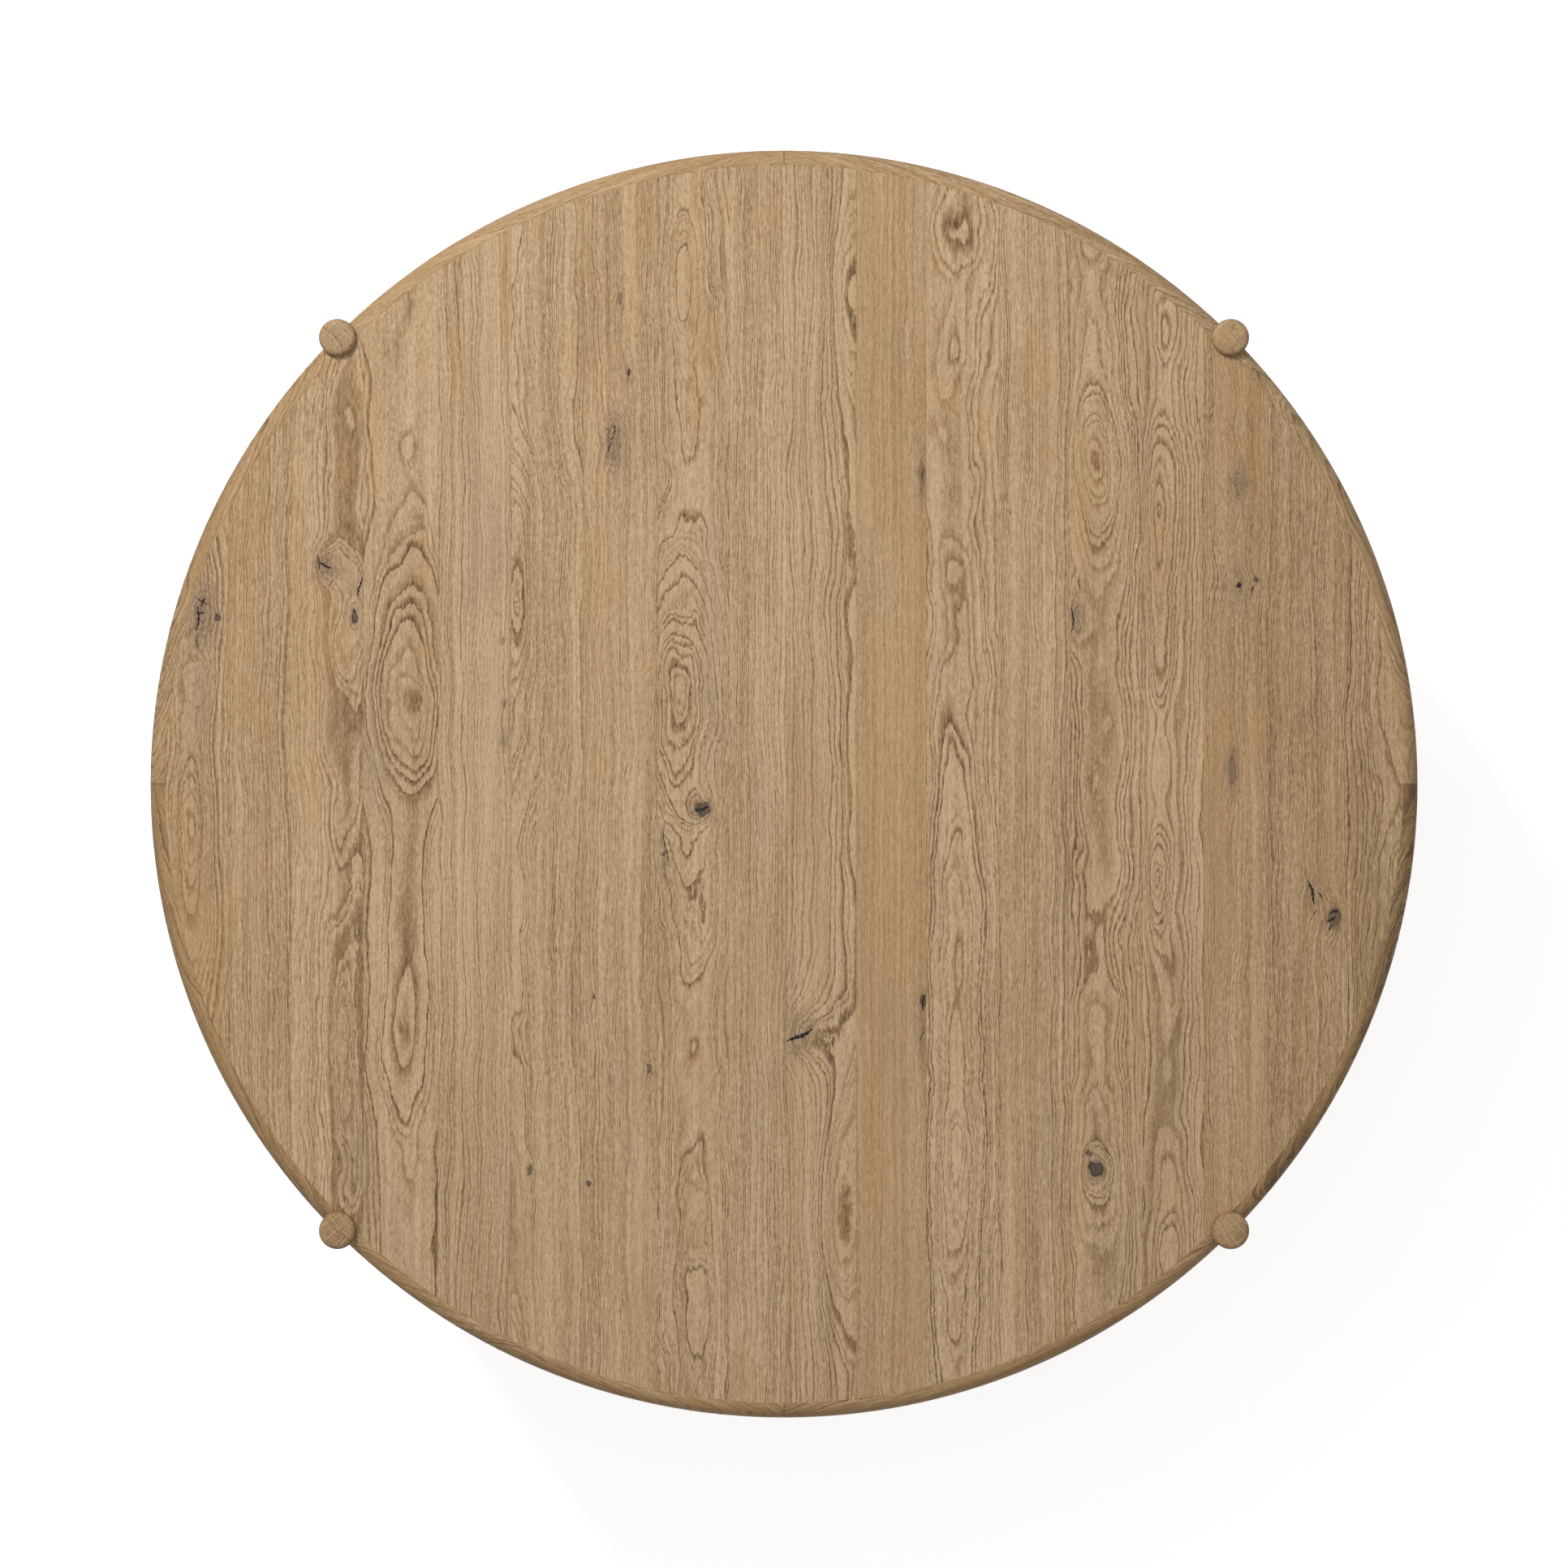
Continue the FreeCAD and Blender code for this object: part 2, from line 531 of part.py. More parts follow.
def make_hanger_hardware():
    """Hanger bolts through the corner blocks, with a washer and a nut on each."""
    bolt = new_body("hanger_bolt")
    radius = "Sizes.bolt_diameter / 2"
    start = f"-({BLOCK_FAR} + Sizes.washer_thickness + Sizes.nut_height + Sizes.bolt_tail)"
    tip = f"(Sizes.bolt_bite - {LEG_RADIUS})"
    bevel = "Sizes.thread_bevel"
    points = [(start, "0"), (start, f"{radius} - {bevel}"), (f"{start} + {bevel}", radius),
              (f"{tip} - Sizes.screw_point", radius), (tip, f"{radius} - {bevel}"), (tip, "0")]
    turned(bolt, outline(bolt, "bolt_profile", "XY_Plane", points), "H_Axis")

    washer = new_body("hanger_washer")
    bore = f"{radius} + Sizes.glue_gap"
    face = f"-({BLOCK_FAR} + Sizes.washer_thickness)"
    points = [(face, bore), (face, "Sizes.washer_diameter / 2"),
              (f"-{BLOCK_FAR}", "Sizes.washer_diameter / 2"), (f"-{BLOCK_FAR}", bore)]
    turned(washer, outline(washer, "washer_profile", "XY_Plane", points), "H_Axis")

    nut = new_body("hanger_nut")
    section = outline(nut, "nut_section", "YZ_Plane", hexagon("Sizes.nut_flats"))
    section.setExpression("AttachmentOffset.Base.z", f"{face} - Sizes.nut_height")
    padded(nut, section, "Sizes.nut_height")
    shaped(nut, "SubtractiveCylinder", "nut_thread", tilt=90, x=f"-2 * {BLOCK_FAR}",
           Radius=bore, Height=f"2 * {BLOCK_FAR}")

    for master, label in ((bolt, "hanger_bolts"), (washer, "hanger_washers"), (nut, "hanger_nuts")):
        group_of(label, [place(copy_of(master, f"{label}_{corner}"), angle,
                               LEG_CIRCLE, up=RAIL_MIDDLE)
                         for corner, angle in CORNERS.items()])


def clip_places():
    """Where the clips sit: (turn, rail face from the middle, distance along the rail)."""
    for angle in SIDES.values():
        for end in (-1, 1):
            yield angle, RAIL_FACE, f"({end} * Sizes.clip_station)"
    for end in (-1, 1):
        yield 90, "(-Sizes.cross_thickness / 2)", f"({end} * Sizes.clip_station)"


def make_clips():
    """Bent steel clips: tongue in the kerf, flange screwed up into the top."""
    clip = new_body("clip")
    thick = "Sizes.clip_thickness"
    points = [("Sizes.clip_tongue", f"{CLIP_Z} - {thick}"), ("Sizes.clip_tongue", CLIP_Z),
              ("0", CLIP_Z), ("0", TOP_UNDERSIDE), ("-Sizes.clip_reach", TOP_UNDERSIDE),
              ("-Sizes.clip_reach", f"{TOP_UNDERSIDE} - {thick}"),
              (f"-{thick}", f"{TOP_UNDERSIDE} - {thick}"), (f"-{thick}", f"{CLIP_Z} - {thick}")]
    pad = padded(clip, outline(clip, "clip_section", "XZ_Plane", points), "Sizes.clip_width")
    pad.Midplane = True
    shaped(clip, "SubtractiveCylinder", "clip_hole", x="(-Sizes.clip_screw_offset)",
           z=f"{TOP_UNDERSIDE} - 2 * {thick}", Radius="Sizes.screw_diameter / 2 + Sizes.glue_gap",
           Height=f"3 * {thick}")
    screw = screw_master("clip_screw", f"(Sizes.clip_screw_bite + {thick})")
    upright = doc.addObject("Part::Compound", "clip_screw_upright")
    upward = copy_of(screw, "clip_screw_turned")
    upward.Placement = Placement(Vector(), Rotation(Vector(0, 1, 0), -90))
    upright.Links = [upward]
    clips = []
    screws = []
    for number, (angle, out, along) in enumerate(clip_places(), 1):
        clips.append(place(copy_of(clip, f"clip_{number}"), angle, out, along))
        screws.append(place(copy_of(upright, f"clip_screw_{number}"), angle,
                            f"({out} - Sizes.clip_screw_offset)", along,
                            f"{TOP_UNDERSIDE} - {thick}"))
    group_of("top_clips", clips)
    group_of("clip_screws", screws)


# ---------------------------------------------------------------- levelling feet

def make_inserts():
    """Threaded bushes pressed into the posts' lower ends."""
    bush = new_body("bush")
    bore = f"{STUD_RADIUS} + Sizes.running_gap"
    outside = "Sizes.insert_diameter / 2"
    points = [(bore, LEG_BOTTOM), (outside, LEG_BOTTOM),
              (outside, f"{LEG_BOTTOM} + Sizes.insert_length"),
              (bore, f"{LEG_BOTTOM} + Sizes.insert_length")]
    turned(bush, outline(bush, "bush_profile", "XZ_Plane", points), "V_Axis")
    group_of("leg_inserts", [place(copy_of(bush, "bush_" + corner), angle, LEG_CIRCLE)
                             for corner, angle in CORNERS.items()])


def make_foot(corner, angle):
    """A nylon pad and the steel stud that stands in it."""
    pad = new_body("foot_pad_" + corner)
    rim = "Sizes.pad_diameter / 2"
    socket = f"{STUD_RADIUS} + Sizes.running_gap"
    points = [("0", "0"), (f"{rim} - Sizes.pad_round", "0"), (rim, "Sizes.pad_round"),
              (rim, "Sizes.pad_height - Sizes.pad_round"),
              (f"{rim} - Sizes.pad_round", "Sizes.pad_height"), (socket, "Sizes.pad_height"),
              (socket, SOCKET_BOTTOM), ("0", SOCKET_BOTTOM)]
    turned(pad, outline(pad, "pad_profile_" + corner, "XZ_Plane", points), "V_Axis")
    place(pad, angle, out=LEG_CIRCLE)
    as_node(pad, "foot_pad_" + corner)

    stud = new_body("foot_stud_" + corner)
    low = f"{SOCKET_BOTTOM} + Sizes.foot_gap"
    high = f"{LEG_BOTTOM} + Sizes.stud_engagement"
    bevel = "Sizes.thread_bevel"
    points = [("0", low), (STUD_RADIUS, low), (STUD_RADIUS, f"{high} - {bevel}"),
              (f"{STUD_RADIUS} - {bevel}", high), ("0", high)]
    turned(stud, outline(stud, "stud_profile_" + corner, "XZ_Plane", points), "V_Axis")
    collar = outline(stud, "collar_" + corner, "XY_Plane", hexagon("Sizes.collar_flats"))
    collar.setExpression("AttachmentOffset.Base.z", "Sizes.pad_height + Sizes.foot_gap")
    padded(stud, collar, "Sizes.collar_height")
    place(stud, angle, out=LEG_CIRCLE)
    as_node(stud, "foot_stud_" + corner)


# ---------------------------------------------------------------- build and write

def build_table():
    fill_sheet()
    notches = make_notches()
    make_panel_layer("top_core", CORE_BOTTOM,
                     "Sizes.top_thickness - Sizes.face_thickness - Sizes.backing_thickness", notches)
    make_panel_layer("backing_veneer", TOP_UNDERSIDE, "Sizes.backing_thickness", notches)
    make_staves(notches)
    make_edging()
    for corner, angle in CORNERS.items():
        make_leg(corner, angle)
        make_corner_block(corner, angle)
        make_foot(corner, angle)
    for side, angle in SIDES.items():
        make_rail(side, angle, is_housed=side in ("left", "right"))
    make_cross_rail()
    make_hanger_hardware()
    make_block_screws()
    make_clips()
    make_inserts()
    doc.recompute()


def check_document():
    for item in doc.Objects:
        if "Invalid" in item.State or "Error" in item.State:
            raise RuntimeError(f"{item.Label} did not compute: {item.State}")
    for piece in nodes:
        if piece.Shape.isNull() or not piece.Shape.isValid() or piece.Shape.Volume <= 0:
            raise RuntimeError(f"{piece.Label} has no sound solid")


def write_parts():
    os.makedirs("parts", exist_ok=True)
    for piece in nodes:
        piece.Shape.exportStep(os.path.join("parts", piece.Label + ".step"))
        print(f"{piece.Label}: {len(piece.Shape.Solids)} solid(s), {piece.Shape.Volume:.0f} mm3")


build_table()
check_document()
write_parts()
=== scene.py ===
"""Round oak table on four turned posts: finishes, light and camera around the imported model.

Metres, +Z up, with the origin on the floor under the middle of the top.
"""
import json
import math

import bmesh
import bpy
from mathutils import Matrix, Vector

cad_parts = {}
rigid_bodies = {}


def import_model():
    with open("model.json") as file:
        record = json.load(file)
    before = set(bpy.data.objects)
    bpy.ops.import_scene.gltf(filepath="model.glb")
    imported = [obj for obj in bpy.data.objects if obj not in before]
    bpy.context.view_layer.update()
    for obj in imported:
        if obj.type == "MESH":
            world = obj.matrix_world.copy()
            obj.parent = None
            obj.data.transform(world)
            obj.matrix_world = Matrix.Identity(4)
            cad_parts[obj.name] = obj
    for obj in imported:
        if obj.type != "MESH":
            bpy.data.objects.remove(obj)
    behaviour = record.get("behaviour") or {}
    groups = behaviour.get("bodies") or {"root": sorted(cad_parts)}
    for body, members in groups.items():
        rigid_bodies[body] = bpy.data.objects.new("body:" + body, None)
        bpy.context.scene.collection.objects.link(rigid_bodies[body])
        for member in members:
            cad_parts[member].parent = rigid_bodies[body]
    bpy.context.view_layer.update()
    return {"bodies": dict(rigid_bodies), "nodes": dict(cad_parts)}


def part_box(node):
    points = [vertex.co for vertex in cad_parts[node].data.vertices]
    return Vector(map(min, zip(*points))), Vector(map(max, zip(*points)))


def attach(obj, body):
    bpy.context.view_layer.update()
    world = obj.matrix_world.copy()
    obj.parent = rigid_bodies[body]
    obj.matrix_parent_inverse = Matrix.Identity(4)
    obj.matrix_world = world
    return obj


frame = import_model()
nodes = frame["nodes"]


# ---------------------------------------------------------------- oak, as every piece uses it
# European oak with its growth rings, open earlywood pores and fine fibre, under a matt oil.
# The oil settles in the earlywood and leaves it as dark, broken lines. The groups below read
# a piece's own axes: X across the board, Y along the grain, Z into its thickness.

class Tree:
    """Adds nodes to one material or group, each fed with plain values or other sockets."""

    def __init__(self, nodes_of):
        self.nodes_of = nodes_of

    def add(self, kind, *values, out=0, **settings):
        node = self.nodes_of.nodes.new("ShaderNode" + kind)
        named = settings.pop("inputs", {})
        for name, setting in settings.items():
            setattr(node, name, setting)
        for socket, value in list(zip(node.inputs, values)) + [(node.inputs[k], v) for k, v in named.items()]:
            if isinstance(value, bpy.types.NodeSocket):
                self.nodes_of.links.new(value, socket)
            elif value is not None:
                socket.default_value = value
        return node.outputs[out]

    def math(self, operation, *values):
        return self.add("Math", *values, operation=operation)

    def vector(self, operation, *values, out=0):
        return self.add("VectorMath", *values, operation=operation, out=out)

    def join(self, x, y, z):
        return self.add("CombineXYZ", x, y, z)

    def split(self, value):
        node = self.nodes_of.nodes.new("ShaderNodeSeparateXYZ")
        self.nodes_of.links.new(value, node.inputs[0])
        return node.outputs

    def noise(self, where, stretch, detail=2.0, roughness=0.5, out="Fac"):
        """Noise whose cells measure 1 / stretch metres along each axis."""
        scaled = self.vector("MULTIPLY", where, stretch)
        return self.add("TexNoise", out=out, inputs={
            "Vector": scaled, "Scale": 1.0, "Detail": detail, "Roughness": roughness})

    def step(self, value, low, high, to_low=0.0, to_high=1.0):
        return self.add("MapRange", value, low, high, to_low, to_high, interpolation_type="SMOOTHSTEP")

    def blend(self, factor, under, over, how="MIX"):
        node = self.nodes_of.nodes.new("ShaderNodeMix")
        node.data_type = "RGBA"
        node.blend_type = how
        for socket, value in ((node.inputs[0], factor), (node.inputs[6], under), (node.inputs[7], over)):
            if isinstance(value, bpy.types.NodeSocket):
                self.nodes_of.links.new(value, socket)
            else:
                socket.default_value = value
        return node.outputs[2]

    def feed(self, shader, label, socket):
        self.nodes_of.links.new(socket, shader.inputs[label])

    def relief(self, shader, height, metres):
        """Raises and lowers the surface by a height map, whose full range is this many metres."""
        bump = self.nodes_of.nodes.new("ShaderNodeBump")
        bump.inputs["Distance"].default_value = metres
        self.nodes_of.links.new(height, bump.inputs["Height"])
        self.feed(shader, "Normal", bump.outputs["Normal"])


def start_group(name, inputs, outputs):
    """A node group with named sockets; returns its builder, its input sockets and its exit node."""
    group = bpy.data.node_groups.new(name, "ShaderNodeTree")
    for label, kind, default in inputs:
        socket = group.interface.new_socket(label, in_out="INPUT", socket_type="NodeSocket" + kind)
        socket.default_value = default
    for label, kind in outputs:
        group.interface.new_socket(label, in_out="OUTPUT", socket_type="NodeSocket" + kind)
    entry = group.nodes.new("NodeGroupInput")
    leave = group.nodes.new("NodeGroupOutput")
    return Tree(group), entry.outputs, leave


def finish_group(tree, leave, **results):
    for label, socket in results.items():
        tree.nodes_of.links.new(socket, leave.inputs[label.replace("_", " ").title()])
    return tree.nodes_of


def make_fibre_group():
    """Moves the lookup a little along the fibres, so that lines crossing the grain look combed."""
    tree, given, leave = start_group("oak_fibres", [("Vector", "Vector", (0, 0, 0)), ("Seed", "Float", 0.0)],
                                     [("Fibres", "Vector"), ("Ragged", "Vector")])
    seed = given["Seed"]
    shift = tree.join(tree.math("MULTIPLY", seed, 2.31), tree.math("MULTIPLY", seed, 5.77), seed)
    here = tree.vector("ADD", given["Vector"], shift)
    comb = tree.math("SUBTRACT", tree.noise(here, (480, 48, 480), 3.0, 0.7), 0.5)
    wobble = tree.math("SUBTRACT", tree.noise(here, (260, 34, 260), 2.0, 0.6), 0.5)
    sway = tree.math("SUBTRACT", tree.noise(here, (34, 15, 34), 2.0, 0.55), 0.5)
    aside = tree.math("MULTIPLY_ADD", sway, 0.0085, tree.math("MULTIPLY", wobble, 0.0022))
    moved = tree.vector("ADD", given["Vector"], tree.join(aside, tree.math("MULTIPLY", comb, 0.028), 0.0))
    ragged = tree.noise(here, (130, 90, 130), 3.0, 0.6, out="Color")
    ragged = tree.vector("MULTIPLY", tree.vector("SUBTRACT", ragged, (0.5, 0.5, 0.5)), (0.009, 0.014, 0.0))
    ragged = tree.vector("ADD", given["Vector"], ragged)
    return finish_group(tree, leave, fibres=moved, ragged=ragged)


def make_knot_group():
    """A knot or a closed eye in the figure: it lifts the rings round it and darkens its heart."""
    tree, given, leave = start_group("oak_knot", [
        ("Ragged", "Vector", (0, 0, 0)), ("Centre", "Vector", (0, 0, 0)), ("Half Width", "Float", 0.01),
        ("Half Length", "Float", 0.02), ("Lift", "Float", 0.01), ("Darkness", "Float", 1.0),
        ("Stain", "Float", 0.0), ("Swirl In", "Float", 0.0), ("Dark In", "Float", 0.0),
        ("Halo In", "Float", 0.0)],
        [("Swirl", "Float"), ("Dark", "Float"), ("Halo", "Float")])
    x, y, _ = tree.split(tree.vector("SUBTRACT", given["Ragged"], given["Centre"]))
    across = tree.math("DIVIDE", x, given["Half Width"])
    along = tree.math("DIVIDE", y, given["Half Length"])
    squared = tree.math("ADD", tree.math("MULTIPLY", across, across), tree.math("MULTIPLY", along, along))
    distance = tree.math("SQRT", squared)
    bell = tree.math("EXPONENT", tree.math("MULTIPLY", squared, -0.22))
    swirl = tree.math("MULTIPLY_ADD", bell, given["Lift"], given["Swirl In"])
    inside = tree.step(distance, 0.75, 1.05, 1.0, 0.0)
    bark = tree.math("MULTIPLY", inside, tree.step(distance, 0.35, 0.85, 0.80, 1.0))
    dark = tree.math("MAXIMUM", tree.math("MULTIPLY", bark, given["Darkness"]), given["Dark In"])
    ringed = tree.math("MULTIPLY_ADD", tree.math("SINE", tree.math("MULTIPLY", distance, 19.0)), 0.35, 0.68)
    halo = tree.math("MULTIPLY", tree.step(distance, 0.6, 2.4, 1.0, 0.0), given["Stain"])
    halo = tree.math("MULTIPLY", halo, ringed)
    halo = tree.math("MAXIMUM", halo, given["Halo In"])
    return finish_group(tree, leave, swirl=swirl, dark=dark, halo=halo)


def make_oak_group():
    """Growth rings round a wandering heart, with pores, fibre and the maker's oiled tone."""
    tree, given, leave = start_group("brushed_oak", [
        ("Fibres", "Vector", (0, 0, 0)), ("Seed", "Float", 0.0), ("Heart Across", "Float", 0.0),
        ("Heart Depth", "Float", -0.05), ("Wander", "Float", 0.02), ("Ring Width", "Float", 0.0035),
        ("Ripple", "Float", 1.0), ("Swirl", "Float", 0.0), ("Dark", "Float", 0.0), ("Halo", "Float", 0.0),
        ("Line Strength", "Float", 1.0), ("Tone", "Float", 0.0), ("Warmth", "Float", 0.0),
        ("Pale Oak", "Color", (0.600, 0.428, 0.258, 1)), ("Deep Oak", "Color", (0.306, 0.188, 0.083, 1))],
        [("Color", "Color"), ("Roughness", "Float"), ("Height", "Float")])
    place = given["Fibres"]
    seed = given["Seed"]
    shift = tree.join(tree.math("MULTIPLY", seed, 3.71), tree.math("MULTIPLY", seed, 7.13),
                      tree.math("MULTIPLY", seed, 1.93))
    here = tree.vector("ADD", place, shift)

    # The heart of the tree wanders slowly along the board, and the rings ripple round it.
    drift = tree.noise(here, (1.2, 2.6, 1.2), 2.0, 0.5, out="Color")
    drift_x, drift_y, _ = tree.split(tree.vector("SUBTRACT", drift, (0.5, 0.5, 0.5)))
    ripple = tree.math("SUBTRACT", tree.noise(here, (17, 6.5, 17), 2.0, 0.5), 0.5)
    x, _, z = tree.split(place)
    across = tree.math("SUBTRACT", x, given["Heart Across"])
    across = tree.math("MULTIPLY_ADD", drift_x, tree.math("MULTIPLY", given["Wander"], 0.8), across)
    deep = tree.math("SUBTRACT", z, given["Heart Depth"])
    deep = tree.math("MULTIPLY_ADD", drift_y, tree.math("MULTIPLY", given["Wander"], 3.4), deep)
    radius = tree.math("SQRT", tree.math("ADD", tree.math("MULTIPLY", across, across),
                                         tree.math("MULTIPLY", deep, deep)))
    wave = tree.math("MULTIPLY", tree.math("MULTIPLY", ripple, given["Ripple"]), 0.021)
    radius = tree.math("ADD", tree.math("ADD", radius, wave), given["Swirl"])

    # Good and lean years: ring widths change, and so does the darkness of each ring.
    years = tree.math("DIVIDE", radius, given["Ring Width"])
    lean = tree.add("TexNoise", out="Fac", noise_dimensions="1D",
                    inputs={"W": tree.math("MULTIPLY_ADD", years, 0.31, seed), "Scale": 1.0, "Detail": 1.0})
    years = tree.math("MULTIPLY_ADD", lean, 3.4, years)
    season = tree.math("FRACT", years)
    one_year = tree.add("TexWhiteNoise", noise_dimensions="1D",
                        inputs={"W": tree.math("ADD", tree.math("FLOOR", years), seed)})
    strength = tree.math("MULTIPLY_ADD", one_year, 0.8, 0.35)
    early = tree.math("MULTIPLY", tree.step(season, 0.05, 0.62, 1.0, 0.0), tree.step(season, 0.0, 0.08))
    early = tree.math("MULTIPLY", early, strength)

    # Open pores are short dashes along the grain, thick in the earlywood.
    dashes = tree.noise(here, (560, 60, 560), 2.0, 0.65)
    speckle = tree.math("SUBTRACT", tree.noise(here, (390, 170, 390), 2.0, 1.0), 0.5)
    pores = tree.math("MULTIPLY", tree.step(dashes, 0.40, 0.64), early)

    streaks = tree.math("SUBTRACT", tree.noise(here, (210, 2.6, 210), 3.0, 0.65), 0.5)
    bands = tree.math("SUBTRACT", tree.noise(here, (38, 1.3, 38), 2.0, 0.6), 0.5)
    cloud = tree.noise(here, (15, 3.0, 15), 3.0, 0.6, out="Color")
    cloud_light, cloud_warm, cloud_grey = tree.split(tree.vector("SUBTRACT", cloud, (0.5, 0.5, 0.5)))

    line = tree.math("MULTIPLY", tree.math("ADD", tree.math("MULTIPLY", early, 0.60),
                                           tree.math("MULTIPLY", pores, 0.36)), given["Line Strength"])
    line = tree.math("MULTIPLY_ADD", speckle, 2.1, line)
    line = tree.math("MULTIPLY_ADD", streaks, 0.95, line)
    line = tree.math("MULTIPLY_ADD", bands, 0.5, line)
    line = tree.math("MULTIPLY_ADD", cloud_light, 0.6, line)
    line = tree.math("SUBTRACT", line, given["Tone"])
    depth = tree.add("MapRange", line, -0.34, 0.47, 0.0, 1.0)
    pore_shade = (0.34, 0.31, 0.32, 1)
    honey = (0.455, 0.268, 0.112, 1)
    weathered = (0.310, 0.222, 0.160, 1)
    colour = tree.blend(depth, given["Pale Oak"], given["Deep Oak"])
    deepest = tree.blend(1.0, given["Deep Oak"], pore_shade, "MULTIPLY")
    colour = tree.blend(tree.step(line, 0.40, 1.20), colour, deepest)
    warm = tree.math("ADD", tree.math("MULTIPLY", cloud_warm, 2.0), given["Warmth"])
    colour = tree.blend(tree.step(warm, -0.1, 0.6, 0.0, 0.42), colour, honey)
    colour = tree.blend(tree.step(cloud_grey, 0.05, 0.30, 0.0, 0.32), colour, weathered)

    # Round a knot the wood is stained a dull reddish brown, and its heart is almost black.
    knot_stain = (0.140, 0.084, 0.064, 1)
    knot_heart = (0.028, 0.021, 0.020, 1)
    stain = tree.math("MULTIPLY", given["Halo"], tree.math("MULTIPLY_ADD", dashes, 0.9, 0.15))
    colour = tree.blend(stain, colour, knot_stain)
    colour = tree.blend(tree.math("MULTIPLY", given["Dark"], 0.93), colour, knot_heart)

    rough = tree.math("MULTIPLY_ADD", pores, 0.16, 0.62)
    height = tree.math("MULTIPLY_ADD", pores, -0.6, tree.math("MULTIPLY", streaks, 0.5))
    height = tree.math("MULTIPLY_ADD", speckle, 0.7, height)
    height = tree.math("MULTIPLY_ADD", early, -0.35, height)
    height = tree.math("MULTIPLY_ADD", given["Dark"], -0.6, height)
    return finish_group(tree, leave, color=colour, roughness=rough, height=height)


def start_material(name):
    """A new material with its Principled BSDF; returns both and the tree that feeds it."""
    material = bpy.data.materials.new(name)
    material.use_nodes = True
    shader = material.node_tree.nodes["Principled BSDF"]
    return material, shader, Tree(material.node_tree)


def place_group(tree, group, **values):
    """Puts a node group in a tree; keywords are its inputs, with spaces written as underscores."""
    node = tree.nodes_of.nodes.new("ShaderNodeGroup")
    node.node_tree = group
    for label, value in values.items():
        socket = node.inputs[label.replace("_", " ").title()]
        if isinstance(value, bpy.types.NodeSocket):
            tree.nodes_of.links.new(value, socket)
        else:
            socket.default_value = value
    return node


def oil(tree, shader, oak, relief):
    """Joins an oak group to a Principled shader, with its brushed relief in metres."""
    tree.relief(shader, oak.outputs["Height"], relief)
    tree.feed(shader, "Base Color", oak.outputs["Color"])
    tree.feed(shader, "Roughness", oak.outputs["Roughness"])
    shader.inputs["Specular IOR Level"].default_value = 0.32


def dress(node_name, material):
    """Gives a CAD node its finish."""
    piece = nodes[node_name]
    if not piece.material_slots:
        piece.data.materials.append(None)
    for place in piece.material_slots:
        place.link = "OBJECT"
        place.material = material


def add_oak(tree, vector, seed, **values):
    """The oak group, fed with a place in the piece's own axes."""
    fibres = place_group(tree, fibre_group, vector=vector, seed=seed)
    return place_group(tree, oak_group, fibres=fibres.outputs["Fibres"], seed=seed, **values)


fibre_group = make_fibre_group()
knot_group = make_knot_group()
oak_group = make_oak_group()


# ---------------------------------------------------------------- face staves
# Eighteen full-length oak boards of random widths, glued side by side and wire-brushed. Each
# was sawn from its own place in its own log, so each has its own heart, rings and knots.

